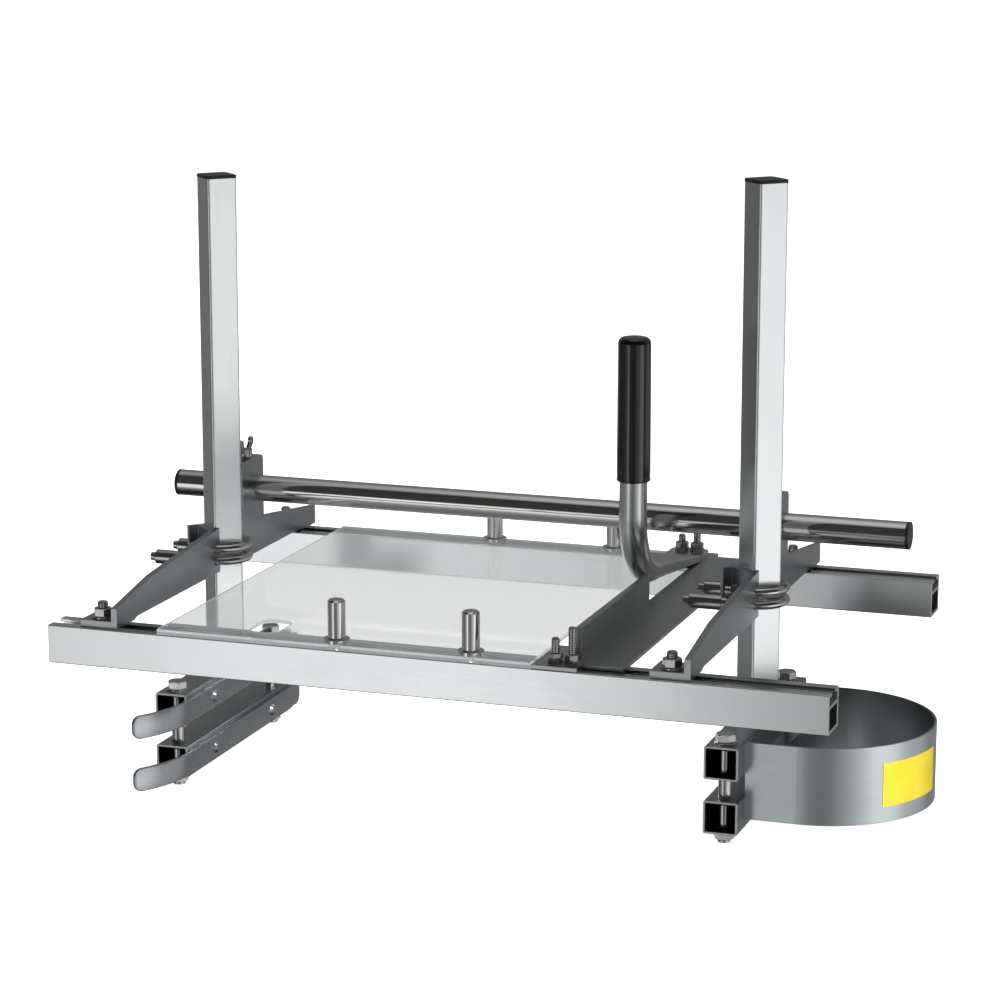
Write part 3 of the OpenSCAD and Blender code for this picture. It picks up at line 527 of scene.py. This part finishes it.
def thread_points(start, axis, length, diameter, pitch=1.5, depth=0.45, proud=0.2, sides=24,
                  rows_per_pitch=8, fewest_rows=12):
    """Screw thread round an axis: at distance s along it and angle a, the radius is
    d / 2 + proud - depth * groove(s / pitch - a / turn), where groove falls from 1 to 0 and climbs
    back over one pitch. The first and last half pitch run down to the core."""
    axis = np.asarray(axis, float)
    side = np.array([0.0, 0.0, 1.0]) if abs(axis[2]) < 0.5 else np.array([1.0, 0.0, 0.0])
    u = np.cross(side, axis)
    v = np.cross(axis, u)
    rows = max(int(length / pitch * rows_per_pitch), fewest_rows)
    s = np.linspace(0.0, length, rows)[:, None]
    a = np.linspace(0.0, 2 * np.pi, sides, endpoint=False)[None, :]
    phase = (s / pitch - a / (2 * np.pi)) % 1.0
    groove = np.abs(2 * phase - 1)
    ends = np.clip(np.minimum(s, length - s) / (pitch / 2), 0, 1)
    radius = diameter / 2 + proud - depth * np.maximum(groove, 1 - ends)
    ring = radius[..., None] * (np.cos(a)[..., None] * u + np.sin(a)[..., None] * v)
    return (np.asarray(start, float) + s[..., None] * axis + ring) * MM


def add_thread(name, body, start, axis, length, diameter):
    """Closed piece of thread that stands a fifth of a millimetre proud of a CAD shank."""
    points = thread_points(start, axis, length, diameter)
    obj = grid_mesh(name, points, wrap_v=True, caps=True)
    obj.data.materials.append(MATERIALS["thread"])
    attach(obj, body)


def add_slot_threads(side):
    """Threads above the nuts of the two slot bolts that hold an end bracket."""
    foot, washer, nut, sunk = 5.5, 1.6, 6.5, 0.5
    nut_top = RAIL_TOP + foot + washer + nut
    x = BRACKET_X[side] - 17.0
    for place, y in (("front", 0.0), ("back", RAIL_PITCH)):
        add_thread(f"{side}_{place}_slot_thread", f"{side}_end", (x, y, nut_top - sunk),
                   (0, 0, 1), 4.7, SLOT_BOLT_DIA)


def add_leg_threads(side):
    """Threads on the legs of the two U-bolts, beyond their nuts and towards -X."""
    legs_apart, length = 44.0, 5.2
    x = BRACKET_X[side]
    for place, y in (("front", POST_Y - legs_apart / 2), ("back", POST_Y + legs_apart / 2)):
        for level, nut_reach, z in (("upper", 19.0, 52.7), ("lower", 52.5, 42.5)):
            add_thread(f"{side}_{place}_{level}_leg_thread", f"{side}_end", (x - nut_reach, y, z),
                       (-1, 0, 0), length, U_ROD_DIA)


def add_cross_threads():
    """Threads on the short and the tall bolt at each foot of the cross member. low is the top of
    the nuts there."""
    half_apart, point = 6.5, 0.9
    for place, x, y, low in (("front", 105.5, 0.0, 39.2), ("back", 99.0, RAIL_PITCH, 44.2)):
        for kind, shift, tip in (("short", -half_apart, 51.1), ("tall", half_apart, 60.1)):
            add_thread(f"cross_{place}_{kind}_thread", "cross", (x + shift, y, low), (0, 0, 1),
                       tip - point - low, CROSS_BOLT_DIA)


def add_threads():
    """Threads on the ends of bolts that show beyond their nuts."""
    for side in BRACKET_X:
        add_slot_threads(side)
        add_leg_threads(side)
    add_cross_threads()


def patch_points(rows=10, cols=24, from_angle=-45.5, to_angle=-3.0, low=-96.5, high=-62.0,
                 lift=0.35, rim_lift=0.2, gap=0.05):
    """Yellow film on the nose guard: at angle a round the guard's axis and height z the outer
    sheet is at the guard's radius plus lift, or rim_lift along its top and bottom, and the inner
    one at the radius plus gap. The grid runs round the film's section: outer sheet up, inner sheet
    down."""
    a = np.radians(np.linspace(from_angle, to_angle, cols))[None, :]
    z = np.linspace(low, high, rows)[:, None]
    rise = np.full_like(z, lift)
    rise[[0, -1]] = rim_lift

    def sheet(offset):
        radius = GUARD_RADIUS + offset
        return np.stack(np.broadcast_arrays(GUARD_X + radius * np.cos(a),
                                            POST_Y + radius * np.sin(a), z), axis=-1)

    section = np.concatenate([sheet(rise), sheet(gap)[::-1]], axis=0)
    return section.transpose(1, 0, 2)[:, ::-1] * MM


def add_patch():
    """Plain yellow film on the nose guard; it goes with the jaw that carries the guard."""
    obj = grid_mesh("plain_yellow_patch", patch_points(), wrap_v=True, caps=True)
    obj.data.materials.append(MATERIALS["film"])
    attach(obj, "right_mast")


def cap_points(x, top, width=26.0, corner=3.2, skirt=2.8, turn=45.0):
    """Post cap: its outline is a square of the given width with corner arcs, turned edgeways like
    the post. Each row scales the outline by a share while the height climbs: the skirt, a rounded
    rim, a low dome."""
    quarter = np.linspace(0.0, np.pi / 2, 7)
    reach = width / 2 - corner
    signs = np.array([[1, 1], [-1, 1], [-1, -1], [1, -1]])
    arcs = [np.stack([np.cos(quarter + k * np.pi / 2), np.sin(quarter + k * np.pi / 2)], axis=-1)
            for k in range(4)]
    outline = np.concatenate([signs[k] * reach + corner * arcs[k] for k in range(4)])
    c, s = math.cos(math.radians(turn)), math.sin(math.radians(turn))
    outline = outline @ np.array([[c, s], [-s, c]])
    sides = [[0.93, -skirt], [1.0, -skirt], [1.0, -0.75]]
    rim = [[0.992, -0.45], [0.97, -0.22], [0.93, -0.1]]
    dome = [[0.6, -0.03], [0.25, 0.0]]
    rows = np.array(sides + rim + dome)
    ring = outline[None] * rows[:, :1, None]
    height = np.broadcast_to(rows[:, 1:], ring.shape[:2])
    return (np.concatenate([ring, height[..., None]], axis=-1) + np.array([x, POST_Y, top])) * MM


def add_caps():
    """Moulded caps in the place of the plain ones on the posts."""
    for side, x in POST_X.items():
        points = cap_points(x, POST_TOP[side])
        cap = grid_mesh(f"{side}_moulded_cap", points, wrap_v=True, caps=True)
        cap.data.materials.append(MATERIALS["plastic"])
        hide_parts(f"{side}_post_cap")
        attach(cap, f"{side}_mast")


def grip_points(x=99.0, y=195.0, low=130.0, high=245.0, radius=13.5, bore=11.0, corner=5.0,
                taper=0.033, crown_height=0.8, sides=64):
    """Dipped grip: a profile of radius and height turned round the tube's upright axis. It climbs
    from the tube over a rolled lip, tapers by a thirtieth of its radius and closes over a rounded
    shoulder into a low crown. The shoulder's arc is top_r + corner cos(t), arc_z + corner
    sin(t)."""
    lip = np.array([[bore, low], [radius - 0.7, low], [radius - 0.15, low + 0.5],
                    [radius, low + 1.2], [radius - 0.1, low + 2.2], [radius - 0.25, low + 4.0]])
    wall_r = radius * (1 - taper * np.linspace(0.25, 1.0, 12))
    wall = np.stack([wall_r, np.linspace(low + 8.0, high - 8.0, 12)], axis=-1)
    t = np.linspace(0.0, np.pi / 2, 10)
    top_r, arc_z = wall_r[-1] - corner, high - crown_height - corner
    shoulder = np.stack([top_r + corner * np.cos(t), arc_z + corner * np.sin(t)], axis=-1)
    crown = np.array([[top_r * 0.6, high - 0.3], [top_r * 0.25, high]])
    return turned(np.concatenate([lip, wall, shoulder, crown]), (x, y), sides)


def add_grip():
    """Dipped grip in the place of the push handle's plain one."""
    grip = grid_mesh("dipped_handle_grip", grip_points(), wrap_v=True, caps=True)
    grip.data.materials.append(MATERIALS["grip"])
    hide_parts("handle_grip")
    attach(grip, "cross")


def strip_points(z, height=19.0, thick=3.0, past_jaw=10.0, radius=95.0, angle=39.0, tip=6.5,
                 soft=0.7):
    """Curled strip on the left jaws: its middle line runs straight along the jaw from its back end
    to the jaw's front end and then turns by angle on the radius. Near both ends, at a distance d
    shorter than tip, the height loses 2 (tip - sqrt(tip^2 - (tip - d)^2)). The section is a
    rectangle with corners of radius soft."""
    face_x = POST_X["left"] + JAW_WIDTH / 2
    front, back = POST_Y - JAW_LEN / 2, POST_Y + JAW_LEN / 2 + past_jaw
    mid_r = radius - thick / 2
    straight = back - front
    total = straight + mid_r * math.radians(angle)
    ends = tip * (1 - np.cos(np.linspace(0.0, np.pi / 2, 9)))
    s = np.unique(np.concatenate([ends, np.linspace(tip, total - tip, 60), total - ends]))
    turn = np.clip((s - straight) / mid_r, 0.0, None)
    x = face_x + thick / 2 - mid_r * (1 - np.cos(turn))
    y = np.where(s < straight, back - s, front - mid_r * np.sin(turn))
    normal = np.stack([np.cos(turn), -np.sin(turn)], axis=-1)
    d = np.minimum(np.minimum(s, total - s), tip)
    tall = height - 2 * (tip - np.sqrt(tip ** 2 - (tip - d) ** 2))
    out, rise = soft_section(tall, thick, soft)
    points = np.stack([x[:, None] + out * normal[:, :1], y[:, None] + out * normal[:, 1:],
                       z + rise], axis=-1)
    return points[::-1] * MM


def soft_section(tall, thick, soft):
    """Rectangle of the given thickness and, row by row, height, with corners of radius soft: the
    distances out of the strip's face and up from its middle line at each point of the outline."""
    quarter = np.linspace(0.0, np.pi / 2, 4)
    c, s = np.cos(quarter), np.sin(quarter)
    across = np.concatenate([c, -s, -c, s]) * soft
    up = np.concatenate([s, c, -s, -c]) * soft
    side = np.repeat([1.0, -1.0, -1.0, 1.0], 4)
    end = np.repeat([1.0, 1.0, -1.0, -1.0], 4)
    out = (side * (thick / 2 - soft) + across)[None, :]
    rise = end[None, :] * (tall[:, None] / 2 - soft) + up[None, :]
    return out, rise


def add_strips():
    """Strips with soft edges and rounded tips in the place of the plain ones."""
    for level, body in (("upper", "left_mast"), ("lower", "left_low_jaw")):
        points = strip_points(JAW_Z[level])
        strip = grid_mesh(f"left_{level}_curled_strip", points, wrap_v=True, caps=True)
        strip.data.materials.append(MATERIALS["strip"])
        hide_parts(f"left_{level}_strip")
        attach(strip, body)


# Studio

# Brightness round the studio near the ground: degrees from -Y towards +X, and grey
RING = [(-180, 0.20), (-166, 0.16), (-152, 0.62), (-130, 0.62), (-119, 0.14), (-100, 0.09),
        (-62, 0.16), (-45, 0.26), (-30, 0.60), (-24, 1.00), (-20, 1.28), (-16.5, 0.76),
        (-13, 0.20), (0, 0.20), (10, 0.14), (22, 0.16), (30, 0.32), (40, 0.44), (54, 0.60),
        (63, 0.95), (66, 1.06), (71, 1.10), (74, 1.00), (92, 0.95), (104, 0.45), (134, 0.42),
        (145, 0.14), (160, 0.20), (170, 0.30), (180, 0.20)]
# Brightness above eye level by height, where 0 is straight down and 1 straight up
BEHIND = [(0.0, 0.17), (0.80, 0.17), (0.90, 0.24), (0.985, 0.55), (1.0, 0.55)]
FRONT = [(0.0, 0.05), (0.93, 0.04), (0.992, 0.55), (1.0, 0.55)]
# Share of the ring's light that is left towards the pit below, by the same height
PIT = [(0.0, 0.10), (0.08, 0.14), (0.18, 0.30), (0.31, 1.0)]
# Where the ring gives way to what is above, by height, and the front to what is behind, by Y
ABOVE_SHARE = [(0.46, 0.0), (0.53, 1.0)]
BEHIND_SHARE = [(0.50, 0.0), (0.66, 1.0)]

# Soft lights: name, place in metres, watts, and the width that both share
LIGHTS = [("key", (1.8, -2.4, 2.0), 190.0), ("fill", (-2.2, 2.2, 2.0), 60.0)]
LIGHT_WIDTH = 2.2
LIGHT_TARGET = (0.0, 0.17, 0.1)

FLOOR_HALF = 20.0

# The photograph's viewpoint in the frame's metres, degrees and millimetres of lens
CAMERA_PLACE = (0.7958, -2.1320, 0.6378)
CAMERA_DOWN = 12.17
CAMERA_LEFT = 19.14
CAMERA_SENSOR = 36.0
CAMERA_LENS = 113.76


def ramp(tree, stops, factor):
    """Colour ramp through (position, grey) stops on a factor socket."""
    made = node(tree, "ShaderNodeValToRGB")
    made.color_ramp.interpolation = "EASE"
    elements = made.color_ramp.elements
    while len(elements) > 1:
        elements.remove(elements[-1])
    elements[0].position = stops[0][0]
    elements[0].color = (stops[0][1],) * 3 + (1.0,)
    for position, grey in stops[1:]:
        elements.new(position).color = (grey, grey, grey, 1.0)
    link(tree, factor, made.inputs[0])
    return made.outputs[0]


def make_world():
    """Studio round the object: a ring of soft panels and dark gaps near the ground that dims
    towards the pit below, a dark front above eye level and a panel overhead. The camera sees plain
    white, straight or through the clear plate."""
    world = bpy.data.worlds.new("soft_studio")
    bpy.context.scene.world = world
    world.use_nodes = True
    tree = world.node_tree
    background = tree.nodes["Background"]
    background.inputs["Strength"].default_value = 1.0

    def to_share(value, scale=0.5):
        return maths(tree, "ADD", maths(tree, "MULTIPLY", value, scale), 0.5)

    coords = node(tree, "ShaderNodeTexCoord")
    parts = node(tree, "ShaderNodeSeparateXYZ")
    link(tree, coords.outputs["Generated"], parts.inputs[0])
    x, y, z = parts.outputs
    turn = maths(tree, "ARCTAN2", x, maths(tree, "MULTIPLY", y, -1.0))
    around, height = to_share(turn, 1 / (2 * math.pi)), to_share(z)

    ring = ramp(tree, [(0.5 + degrees / 360, grey) for degrees, grey in RING], around)
    low = node(tree, "ShaderNodeMix", data_type="RGBA", blend_type="MULTIPLY", in_0=1.0)
    link(tree, ring, low.inputs[6])
    link(tree, ramp(tree, PIT, height), low.inputs[7])
    above = mix_colour(tree, ramp(tree, BEHIND_SHARE, to_share(y)),
                       ramp(tree, FRONT, height), ramp(tree, BEHIND, height))
    sky = mix_colour(tree, ramp(tree, ABOVE_SHARE, height), low.outputs[2], above)

    path = node(tree, "ShaderNodeLightPath")
    unreflected = maths(tree, "LESS_THAN", path.outputs["Glossy Depth"], 0.5)
    through = maths(tree, "MULTIPLY", path.outputs["Is Transmission Ray"], unreflected)
    direct = maths(tree, "MAXIMUM", path.outputs["Is Camera Ray"], through)
    link(tree, mix_colour(tree, direct, sky, (1.0, 1.0, 1.0)), background.inputs["Color"])


def make_lights():
    """Two large soft lights that lift plastic, film and floor; metal shows the studio ring
    instead."""
    for name, place, watts in LIGHTS:
        data = bpy.data.lights.new(name, "AREA")
        data.energy = watts
        data.size = LIGHT_WIDTH
        lamp = bpy.data.objects.new(name, data)
        bpy.context.scene.collection.objects.link(lamp)
        lamp.location = place
        aim = Vector(LIGHT_TARGET) - Vector(place)
        lamp.rotation_euler = aim.to_track_quat("-Z", "Y").to_euler()
        lamp.visible_glossy = False


def make_floor():
    """Plain pale floor under the lowest bolt tips: a flat grid so wide that its rim is out of the
    picture. Only the camera sees it, so that it doesn't whiten the metal from below."""
    ticks = np.linspace(-FLOOR_HALF, FLOOR_HALF, 5)
    across, along = np.meshgrid(ticks, ticks, indexing="ij")
    points = np.stack([across, along, np.full_like(across, FLOOR_Z)], axis=-1)
    floor = grid_mesh("floor", points)
    mat, _, bsdf = new_material("pale_floor", Roughness=0.9, Specular_IOR_Level=0.1,
                                Emission_Strength=0.90)
    bsdf.inputs["Base Color"].default_value = (0.92, 0.92, 0.92, 1.0)
    bsdf.inputs["Emission Color"].default_value = (1.0, 1.0, 1.0, 1.0)
    floor.data.materials.append(mat)
    floor.visible_glossy = False
    floor.visible_diffuse = False
    floor.visible_shadow = False
    floor.visible_transmission = False


def make_camera():
    """Camera at the photograph's viewpoint."""
    data = bpy.data.cameras.new("photo_camera")
    data.sensor_width = CAMERA_SENSOR
    data.lens = CAMERA_LENS
    data.clip_end = 60.0
    cam = bpy.data.objects.new("photo_camera", data)
    bpy.context.scene.collection.objects.link(cam)
    cam.location = CAMERA_PLACE
    cam.rotation_euler = (math.radians(90 - CAMERA_DOWN), 0.0, math.radians(CAMERA_LEFT))
    bpy.context.scene.camera = cam


make_camera()
bpy.context.scene.view_settings.view_transform = "Standard"
dress_nodes()
add_threads()
add_patch()
add_caps()
add_strips()
add_grip()
make_world()
make_lights()
make_floor()
